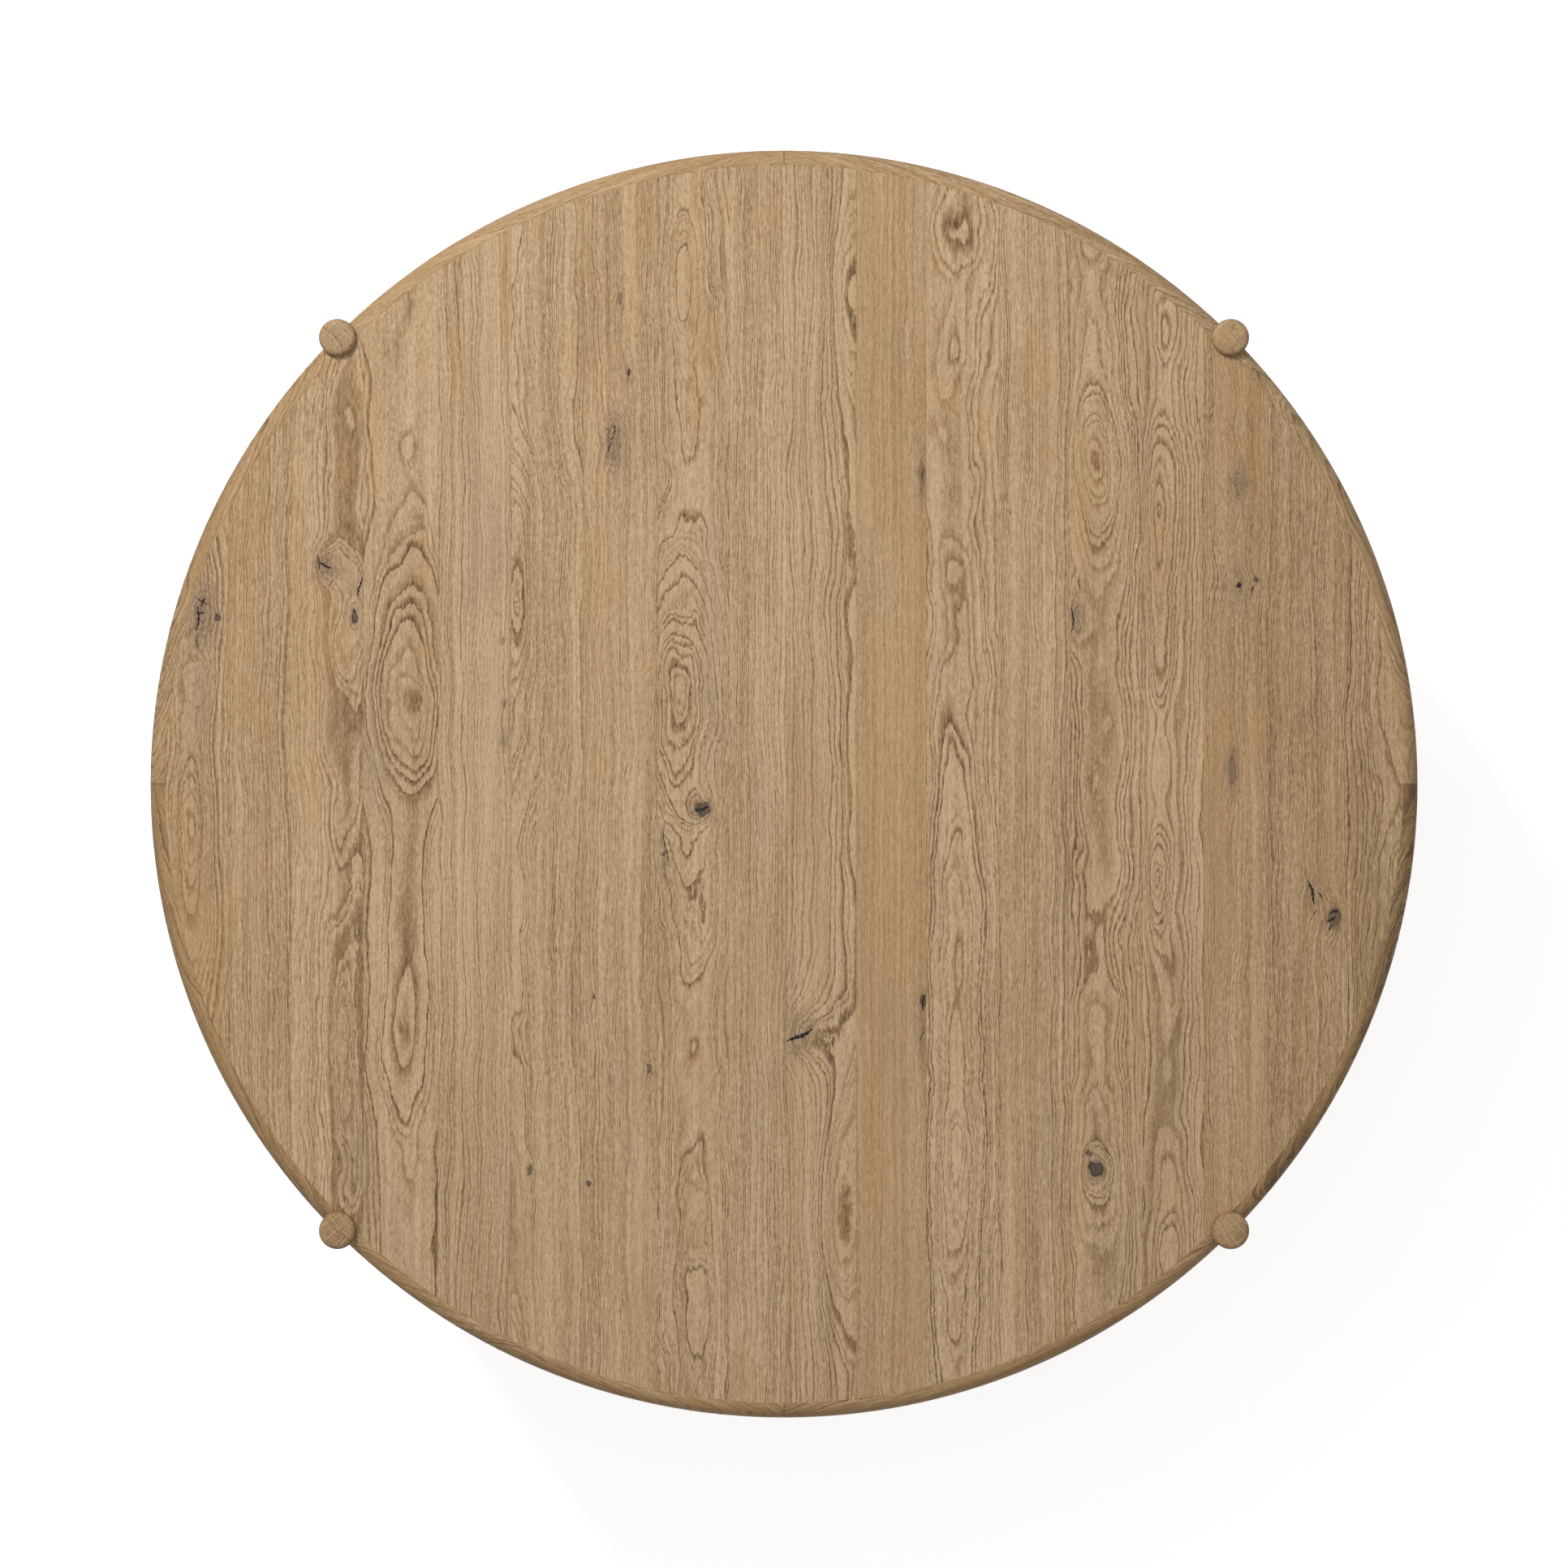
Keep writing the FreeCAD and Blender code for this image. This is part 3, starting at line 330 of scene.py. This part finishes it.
# For each board: heart across and below it, wander of the heart and ring width (millimetres),
# ripple, line strength, tone and warmth, then its knots and eyes. A knot is (across from the
# table's middle, along it, half width, half length, lift of the rings, darkness, stain).
BOARDS = [
    ((-14, -30, 15, 4.4, 1.1, 1.0, -0.13, 0.10),
     [(-697, 205, 13, 26, 9, 0.08, 0.95), (-680, 199, 3, 5, 3, 0.95, 0.5),
      (-694, 119, 7, 17, 11, 0.0, 0.25), (-709, -52, 8, 48, 22, 0.0, 0)]),
    ((120, -60, 16, 2.9, 0.6, 0.8, -0.04, 0.0), []),
    ((24, -40, 14, 3.3, 1.1, 0.9, 0.01, 0.05),
     [(-550, 262, 9, 12, 12, 0.22, 0.9), (-515, 201, 4, 10, 8, 0.95, 0.6),
      (-507, 232, 5, 22, 4, 0.0, 0.5), (-507, -165, 6, 22, 12, 0.15, 0.2), (-530, -300, 6, 40, 10, 0.0, 0)]),
    ((6, -52, 16, 7.0, 1.5, 1.0, -0.01, -0.05),
     [(-441, 112, 34, 74, 44, 0.0, 0), (-436, 100, 8, 10, 7, 0.0, 0), (-452, -267, 20, 90, 26, 0.0, 0)]),
    ((-130, -60, 18, 3.0, 0.9, 0.85, 0.04, -0.15),
     [(-337, 172, 2, 6, 2, 0.6, 0.3), (-336, 96, 3, 6, 2, 0.4, 0.5), (-336, 52, 4, 9, 3, 0.2, 0.6)]),
    ((-52, -46, 22, 3.7, 1.2, 0.9, 0.03, -0.05),
     [(-312, 304, 12, 34, 20, 0.0, 0), (-315, 202, 10, 30, 18, 0.0, 0),
      (-304, -463, 3, 6, 5, 0.8, 0.4)]),
    ((-140, -50, 16, 3.2, 1.0, 0.75, 0.02, 0.05),
     [(-204, 410, 9, 26, 14, 0.24, 1.0), (-196, 583, 3, 9, 4, 0.5, 0.5),
      (-186, 495, 2.5, 6, 3, 0.85, 0.4), (-228, -254, 2, 4, 3, 0.85, 0.3),
      (-162, -341, 3, 6, 4, 0.8, 0.3), (-235, -479, 3, 4, 3, 0.9, 0.4)]),
    ((0, -34, 20, 3.6, 1.8, 1.0, 0.03, 0.05),
     [(-98, -30, 10, 10, 17, 0.90, 0.7), (-144, -85, 2.8, 2.8, 6, 0.85, 0.4),
      (-143, -100, 3, 14, 3, 0.3, 0.4), (-150, 70, 40, 95, 50, 0.0, 0), (-123, 600, 10, 60, 20, 0.0, 0)]),
    ((150, -60, 12, 2.7, 0.6, 0.85, 0.10, -0.05), []),
    ((58, -44, 16, 4.2, 1.0, 1.0, 0.03, 0.0),
     [(19, -300, 15, 22, 30, 0.1, 0.75), (12, -322, 7, 5, 3, 0.2, 0.7), (80, 600, 14, 55, 30, 0.0, 0),
      (77, 290, 3, 26, 3, 0.3, 0.3), (62, -520, 14, 50, 24, 0.0, 0)]),
    ((260, -90, 10, 2.4, 0.4, 0.30, -0.02, 0.45),
     [(166, 368, 4, 22, 2, 0.35, 0.6), (167, -262, 4, 9, 4, 0.85, 0.7), (167, -300, 4, 22, 2, 0.1, 0.6)]),
    ((-10, -60, 12, 4.6, 1.5, 1.05, 0.08, -0.05),
     [(208, -420, 16, 170, 34, 0.0, 0)]),
    ((-150, -70, 14, 2.9, 0.8, 0.9, 0.0, 0.0), []),
    ((-10, -40, 18, 4.2, 1.3, 0.95, -0.01, 0.05),
     [(370, 397, 15, 40, 24, 0.0, 0), (350, 200, 7, 17, 13, 0.14, 0.9),
      (374, -462, 9.5, 10.5, 17, 1.0, 0.8), (366, -443, 5, 4, 4, 0.8, 0.7)]),
    ((-8, -32, 16, 4.0, 1.2, 1.1, 0.02, -0.05),
     [(448, 262, 6, 60, 18, 0.0, 0), (447, -120, 6, 24, 18, 0.0, 0), (447, -115, 2, 6, 6, 0.1, 0)]),
    ((-120, -60, 14, 3.3, 1.2, 0.7, -0.15, 0.25),
     [(545, 360, 7, 18, 22, 0.15, 0.85), (546, 238, 3.8, 4, 16, 1.0, 0.7), (546, 238, 14, 17, 9, 0.0, 0.4),
      (566, 245, 3.6, 4, 5, 0.8, 0.7), (538, 16, 6, 22, 5, 0.32, 0.95)]),
    ((-160, -60, 16, 2.9, 1.1, 0.8, -0.15, 0.1),
     [(633, -130, 5, 18, 8, 0.0, 0.6), (660, -161, 8, 13, 16, 0.62, 1.0)]),
    ((30, -36, 20, 3.9, 1.1, 1.05, -0.15, 0.05),
     [(678, -323, 3, 4, 5, 0.85, 0.4), (716, -250, 17, 130, 0, 0.0, 0.6)]),
]
MM = 0.001

# The whole depth of the wire-brushed relief.
FACE_RELIEF = 0.5 * MM

face_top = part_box("face_stave_01")[1].z


def make_stave(number, board, knots):
    heart, depth, wander, ring, ripple, strength, tone, warmth = board
    name = f"face_stave_{number:02d}"
    low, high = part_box(name)
    middle = (low.x + high.x) / 2
    seed = number * 1.37
    material, shader, tree = start_material(f"oak_{name}")
    place = tree.add("TexCoord", out="Object")
    centred = tree.vector("SUBTRACT", place, (middle, 0.0, face_top))
    fibres = place_group(tree, fibre_group, vector=centred, seed=seed)
    swirl, dark, halo = 0.0, 0.0, 0.0
    for across, along, half_width, half_length, lift, darkness, stain in knots:
        knot = place_group(tree, knot_group, ragged=fibres.outputs["Ragged"],
                           centre=(across * MM - middle, along * MM, 0.0),
                           half_width=half_width * MM, half_length=half_length * MM, lift=-lift * MM,
                           darkness=darkness, stain=stain, swirl_in=swirl, dark_in=dark, halo_in=halo)
        swirl, dark, halo = knot.outputs["Swirl"], knot.outputs["Dark"], knot.outputs["Halo"]
    oak = place_group(tree, oak_group, fibres=fibres.outputs["Fibres"], seed=seed, heart_across=heart * MM,
                      heart_depth=depth * MM, wander=wander * MM, ring_width=ring * MM, ripple=ripple,
                      swirl=swirl, dark=dark, halo=halo, line_strength=strength, tone=tone, warmth=warmth)
    oil(tree, shader, oak, FACE_RELIEF)
    dress(name, material)


for number, (board, knots) in enumerate(BOARDS, 1):
    make_stave(number, board, knots)


# ---------------------------------------------------------------- filled cracks
# The knots have drying cracks, filled with black wax and scraped almost flush. Each fill is
# a thin ragged sliver that tapers to both ends.

# Each crack: across and along from the table's middle, length, lean from the X axis in
# degrees, and width (millimetres).
CRACKS = [
    (-698, 219, 15, -35, 1.6), (-697, 218, 11, 75, 1.4), (-697, 219, 12, 48, 1.0), (-703, 199, 34, 87, 2.4),
    (-704, 171, 22, 89, 0.8), (-699, 205, 9, 5, 1.6), (-550, 262, 19, -24, 2.6), (-558, 266, 20, 92, 1.2),
    (-543, 241, 13, 60, 1.0), (-509, 236, 27, 80, 2.0), (-504, 275, 16, 84, 0.9), (-203, 424, 14, 80, 1.5),
    (-207, 414, 9, 40, 1.4), (-209, 405, 14, 78, 1.5), (-98, -30, 17, 16, 4.0), (-142, -75, 48, 96, 1.3),
    (-147, -66, 22, 98, 0.7), (19, -302, 35, 27, 4.2), (346, 198, 33, 88, 1.8), (354, 241, 20, 92, 1.3),
    (562, 234, 9, 75, 1.2), (633, -130, 30, 105, 3.2), (643, -133, 11, 120, 1.2), (637, -154, 12, 60, 1.0),
    (660, -153, 12, 20, 3.0), (657, -162, 14, 30, 3.2), (655, -172, 10, 62, 1.6), (167, -261, 20, 84, 2.6),
    (166, -300, 18, 76, 1.0), (545, 238, 7, 40, 3.0), (-186, 495, 9, 82, 1.6), (166, 372, 16, 88, 1.3),
]
# How far a fill stands above the face and reaches below it, and the least half width, in millimetres.
FILL_PROUD = 0.1
FILL_DEPTH = 0.3
NARROWEST = 0.15


def add_sliver(shape, number, across, along, length, lean, width):
    """One fill: a run of four-cornered rings down the crack, closed at both ends."""
    turn = math.radians(lean)
    ahead = Vector((math.cos(turn), math.sin(turn), 0.0))
    aside = Vector((-ahead.y, ahead.x, 0.0))
    middle = Vector((across * MM, along * MM, face_top))
    outline = ((-1, -FILL_DEPTH), (-1, FILL_PROUD), (1, FILL_PROUD), (1, -FILL_DEPTH))
    rungs = max(6, int(length * 0.6))
    previous = None
    for rung in range(rungs + 1):
        t = 2.0 * rung / rungs - 1.0
        bend = math.sin(t * 3.1 + number * 1.7) * length * 0.035 + math.sin(t * 11.3 + number) * 0.35
        ragged = 0.8 + 0.3 * math.sin(t * 17.0 + number * 2.9)
        half = max(NARROWEST, width * 0.66 * (1 - t * t) ** 0.7 * ragged)
        spot = middle + ahead * (t * length / 2 * MM) + aside * (bend * MM)
        ring = [shape.verts.new(spot + aside * (side * half * MM) + Vector((0, 0, rise * MM)))
                for side, rise in outline]
        if previous:
            for k in range(4):
                shape.faces.new((previous[k], ring[k], ring[(k + 1) % 4], previous[(k + 1) % 4]))
        else:
            shape.faces.new(ring[::-1])
        previous = ring
    shape.faces.new(previous)


def make_black_wax():
    material, shader, tree = start_material("black_wax")
    cloud = tree.noise(tree.add("TexCoord", out="Object"), (260, 260, 260), 3.0)
    soot = (0.016, 0.013, 0.014, 1)
    dust = (0.05, 0.036, 0.034, 1)
    tree.feed(shader, "Base Color", tree.blend(tree.step(cloud, 0.35, 0.7), soot, dust))
    shader.inputs["Roughness"].default_value = 0.8
    shader.inputs["Specular IOR Level"].default_value = 0.2
    return material


def make_wax_fills():
    shape = bmesh.new()
    for number, crack in enumerate(CRACKS):
        add_sliver(shape, number, *crack)
    bmesh.ops.recalc_face_normals(shape, faces=shape.faces)
    mesh = bpy.data.meshes.new("wax_fills")
    shape.to_mesh(mesh)
    shape.free()
    fills = bpy.data.objects.new("wax_fills", mesh)
    bpy.context.scene.collection.objects.link(fills)
    mesh.materials.append(make_black_wax())
    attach(fills, "table")


make_wax_fills()


# ---------------------------------------------------------------- edging
# Eight lengths of solid oak, sawn to the curve and run over with a full bullnose cutter. The
# grain of each runs straight along its chord, and glue shows dark where two lengths butt.

# For each length: heart across and below it, ring width (millimetres), tone and warmth.
EDGINGS = [(-20, -26, 4.0, -0.10, 0.25), (60, -50, 3.6, -0.10, 0.10), (70, -60, 3.4, -0.06, 0.35),
           (-80, -50, 3.0, -0.25, 0.25), (45, -60, 2.8, -0.42, 0.20), (-70, -40, 3.8, -0.22, 0.35),
           (55, -45, 3.6, -0.22, 0.30), (-60, -55, 3.0, -0.52, 0.20)]
# How far the middle of each sawn board lies from the table's, and the relief of planed oak.
CHORD_MIDDLE = 0.72
MATT_RELIEF = 0.3 * MM


def make_edging(number, heart, depth, ring, tone, warmth):
    name = f"edging_{number}"
    low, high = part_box(name)
    middle = (low + high) / 2
    outward = Vector((middle.x, middle.y, 0.0)).normalized()
    material, shader, tree = start_material(f"oak_{name}")
    place = tree.add("TexCoord", out="Object")
    across = tree.vector("DOT_PRODUCT", place, tuple(outward), out=1)
    along = tree.vector("DOT_PRODUCT", place, (-outward.y, outward.x, 0.0), out=1)
    x, y, z = tree.split(place)
    board = tree.join(tree.math("SUBTRACT", across, CHORD_MIDDLE), along, tree.math("SUBTRACT", z, face_top))
    nearest = tree.math("MINIMUM", tree.math("ABSOLUTE", x), tree.math("ABSOLUTE", y))
    glue = tree.step(nearest, 0.0003, 0.0009, 0.6, 0.0)
    oak = add_oak(tree, board, 40.0 + number * 2.3, heart_across=heart * MM, heart_depth=depth * MM,
                  wander=0.016, ring_width=ring * MM, line_strength=0.95, dark=glue, tone=tone, warmth=warmth)
    oil(tree, shader, oak, MATT_RELIEF)
    dress(name, material)


for number, length in enumerate(EDGINGS, 1):
    make_edging(number, *length)


# ---------------------------------------------------------------- posts
# Turned from solid oak, with a domed top that shows its end grain: arcs of rings crossed by
# the rays. They stand in the notches and are finished like the top.

# For each post: heart across and behind it (millimetres) and tone.
POSTS = {"back_right": (45, -45, -0.18), "back_left": (-50, -40, -0.13),
         "front_left": (55, 50, -0.32), "front_right": (-40, 60, -0.36)}
# Rays for each radian round the heart, and their pale colour.
RAYS_ROUND = 34.0
RAY_CREAM = (0.50, 0.35, 0.21, 1)


def make_post(number, corner, heart, depth, tone):
    name = "leg_" + corner
    low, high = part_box(name)
    middle = (low + high) / 2
    material, shader, tree = start_material(f"oak_{name}")
    place = tree.vector("SUBTRACT", tree.add("TexCoord", out="Object"), (middle.x, middle.y, 0.0))
    x, y, z = tree.split(place)
    oak = add_oak(tree, tree.join(x, z, y), 70.0 + number * 3.1, heart_across=heart * MM,
                  heart_depth=depth * MM, wander=0.004, ring_width=0.0024, ripple=0.25, line_strength=0.6,
                  tone=tone, warmth=0.15)
    oil(tree, shader, oak, MATT_RELIEF)
    to_heart_x = tree.math("SUBTRACT", x, heart * MM)
    to_heart_y = tree.math("SUBTRACT", y, depth * MM)
    spokes = tree.math("MULTIPLY", tree.math("ARCTAN2", to_heart_y, to_heart_x), RAYS_ROUND)
    rays = tree.add("TexNoise", out="Fac", noise_dimensions="1D",
                    inputs={"W": spokes, "Scale": 1.0, "Detail": 2.0})
    on_end = tree.step(z, face_top + 6 * MM, face_top + 10 * MM, 0.0, 0.7)
    pale = tree.math("MULTIPLY", tree.step(rays, 0.52, 0.66), on_end)
    tree.feed(shader, "Base Color", tree.blend(pale, oak.outputs["Color"], RAY_CREAM))
    dress(name, material)


for number, (corner, post) in enumerate(POSTS.items()):
    make_post(number, corner, *post)


# ---------------------------------------------------------------- rails
# Four planed oak rails stand on edge, stub-tenoned into the posts, and a shallower one runs
# across the middle. Clips along them hold the top down and let it move.

def make_rail(name, number, runs_along_x):
    low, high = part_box(name)
    middle = (low + high) / 2
    material, shader, tree = start_material(f"oak_{name}")
    x, y, z = tree.split(tree.vector("SUBTRACT", tree.add("TexCoord", out="Object"), middle))
    local = tree.join(z, x, y) if runs_along_x else tree.join(z, y, x)
    oak = add_oak(tree, local, 90.0 + number * 2.7, heart_across=0.02, heart_depth=-0.06, wander=0.02,
                  ring_width=0.0036, line_strength=0.9, tone=-0.02, warmth=0.1)
    oil(tree, shader, oak, MATT_RELIEF)
    dress(name, material)


RAILS = (("rail_front", True), ("rail_back", True), ("rail_left", False), ("rail_right", False),
         ("cross_rail", True))
for number, (name, runs_along_x) in enumerate(RAILS):
    make_rail(name, number, runs_along_x)


# ---------------------------------------------------------------- core, backing and blocks
# The staves are glued to a plywood core inside the edging, with a plain oak veneer below it
# to balance them. The beech blocks are screwed to the rails in the four corners.

SAWN_RELIEF = 0.2 * MM


def make_plain_wood(name, pale, deep, seed, ring):
    material, shader, tree = start_material(name)
    place = tree.add("TexCoord", out="Object")
    oak = add_oak(tree, place, seed, heart_across=0.3, heart_depth=-0.35, wander=0.05,
                  ring_width=ring * MM, line_strength=0.45, pale_oak=pale, deep_oak=deep)
    oil(tree, shader, oak, SAWN_RELIEF)
    return material


plywood = make_plain_wood("birch_plywood", (0.52, 0.40, 0.26, 1), (0.30, 0.20, 0.11, 1), 5.0, 7)
veneer = make_plain_wood("backing_oak", (0.48, 0.36, 0.23, 1), (0.24, 0.16, 0.08, 1), 6.0, 6)
beech = make_plain_wood("beech", (0.56, 0.39, 0.25, 1), (0.36, 0.22, 0.12, 1), 7.0, 3)
dress("top_core", plywood)
dress("backing_veneer", veneer)
for corner in POSTS:
    dress("corner_block_" + corner, beech)


# ---------------------------------------------------------------- steel
# Zinc-plated steel, bought in: hanger bolts with their washers and nuts, screws, clips for the
# top, and the bushes and studs of the levelling feet.

def make_zinc():
    material, shader, tree = start_material("zinc_plate")
    place = tree.add("TexCoord", out="Object")
    bloom = tree.noise(place, (160, 160, 160), 3.0)
    scratches = tree.noise(place, (900, 900, 60), 2.0)
    dull = (0.50, 0.51, 0.52, 1)
    bright = (0.72, 0.72, 0.70, 1)
    tree.feed(shader, "Base Color", tree.blend(bloom, dull, bright))
    tree.feed(shader, "Roughness", tree.step(bloom, 0.3, 0.7, 0.28, 0.45))
    tree.relief(shader, scratches, 0.1 * MM)
    shader.inputs["Metallic"].default_value = 1.0
    return material


zinc = make_zinc()
for name in ("hanger_bolts", "hanger_washers", "hanger_nuts", "block_screws", "top_clips", "clip_screws",
             "leg_inserts"):
    dress(name, zinc)
for corner in POSTS:
    dress("foot_stud_" + corner, zinc)


# ---------------------------------------------------------------- feet
# Moulded black nylon pads on the ends of the levelling studs, faintly grained by the mould
# and scuffed by the floor.

def make_nylon():
    material, shader, tree = start_material("black_nylon")
    place = tree.add("TexCoord", out="Object")
    grain = tree.noise(place, (1500, 1500, 1500), 2.0)
    scuff = tree.noise(place, (90, 90, 90), 4.0)
    moulded = (0.028, 0.026, 0.025, 1)
    scuffed = (0.10, 0.095, 0.09, 1)
    tree.feed(shader, "Base Color", tree.blend(tree.step(scuff, 0.5, 0.8), moulded, scuffed))
    tree.feed(shader, "Roughness", tree.step(scuff, 0.3, 0.7, 0.45, 0.7))
    tree.relief(shader, grain, 0.1 * MM)
    return material


nylon = make_nylon()
for corner in POSTS:
    dress("foot_pad_" + corner, nylon)


# ---------------------------------------------------------------- studio
# A white floor and dome round the table, one large soft light from behind and to the left,
# a sky that dims towards the horizon, and a camera that looks straight down. The floor
# stays under whichever foot reaches lowest.

def add_studio_piece(name, shape, glow):
    mesh = bpy.data.meshes.new(name)
    shape.to_mesh(mesh)
    shape.free()
    piece = bpy.data.objects.new(name, mesh)
    bpy.context.scene.collection.objects.link(piece)
    material, shader, _ = start_material(name + "_white")
    shader.inputs["Base Color"].default_value = (0.9, 0.9, 0.9, 1)
    shader.inputs["Roughness"].default_value = 0.9
    shader.inputs["Emission Color"].default_value = (1, 1, 1, 1)
    shader.inputs["Emission Strength"].default_value = glow
    mesh.materials.append(material)
    piece.visible_diffuse = False
    piece.visible_shadow = False
    return piece


def keep_under_feet(floor):
    """Drives the floor's height from the four pads, by the lowest of them."""
    up = 2
    lowest = floor.driver_add("location", up).driver
    lowest.type = "MIN"
    for corner in POSTS:
        height = lowest.variables.new()
        height.type = "TRANSFORMS"
        height.targets[0].id = frame["bodies"]["pad_" + corner]
        height.targets[0].transform_type = "LOC_Z"
        height.targets[0].transform_space = "WORLD_SPACE"


def add_light(name, place, target, size, watts):
    light = bpy.data.lights.new(name, "AREA")
    light.shape = "DISK"
    light.size = size
    light.energy = watts
    lamp = bpy.data.objects.new(name, light)
    lamp.location = place
    lamp.rotation_euler = (Vector(target) - lamp.location).to_track_quat("-Z", "Y").to_euler()
    bpy.context.scene.collection.objects.link(lamp)


FLOOR_RADIUS = 13.0
DOME_RADIUS = 12.5
shape = bmesh.new()
bmesh.ops.create_circle(shape, cap_ends=True, segments=96, radius=FLOOR_RADIUS)
keep_under_feet(add_studio_piece("studio_floor", shape, 0.6))
shape = bmesh.new()
bmesh.ops.create_uvsphere(shape, u_segments=96, v_segments=48, radius=DOME_RADIUS)
dome = add_studio_piece("studio_dome", shape, 1.0)
dome.visible_glossy = False
add_light("key_light", (-2.4, 3.45, 4.96), (0, 0, face_top), size=1.5, watts=240)

scene = bpy.context.scene
scene.view_settings.view_transform = "Standard"
sky = bpy.data.worlds.new("sky")
sky.use_nodes = True
heaven = Tree(sky.node_tree)
_, _, rise = heaven.split(heaven.add("TexCoord", out="Generated"))
from_above = heaven.step(rise, -0.1, 0.9, 0.06, 0.60)
from_floor = heaven.step(rise, -0.9, -0.35, 0.62, 0.0)
backdrop = sky.node_tree.nodes["Background"]
backdrop.inputs["Color"].default_value = (1, 1, 1, 1)
heaven.feed(backdrop, "Strength", heaven.math("ADD", from_above, from_floor))
scene.world = sky

# The camera's rise above the top, and the width that it sees at the top, in metres.
CAMERA_RISE = 6.0
FRAME_WIDTH = 1.8804
lens = bpy.data.cameras.new("camera")
lens.sensor_width = 36.0
lens.lens = lens.sensor_width * CAMERA_RISE / FRAME_WIDTH
camera = bpy.data.objects.new("camera", lens)
camera.location = (0.0, 0.0, face_top + CAMERA_RISE)
scene.collection.objects.link(camera)
scene.camera = camera
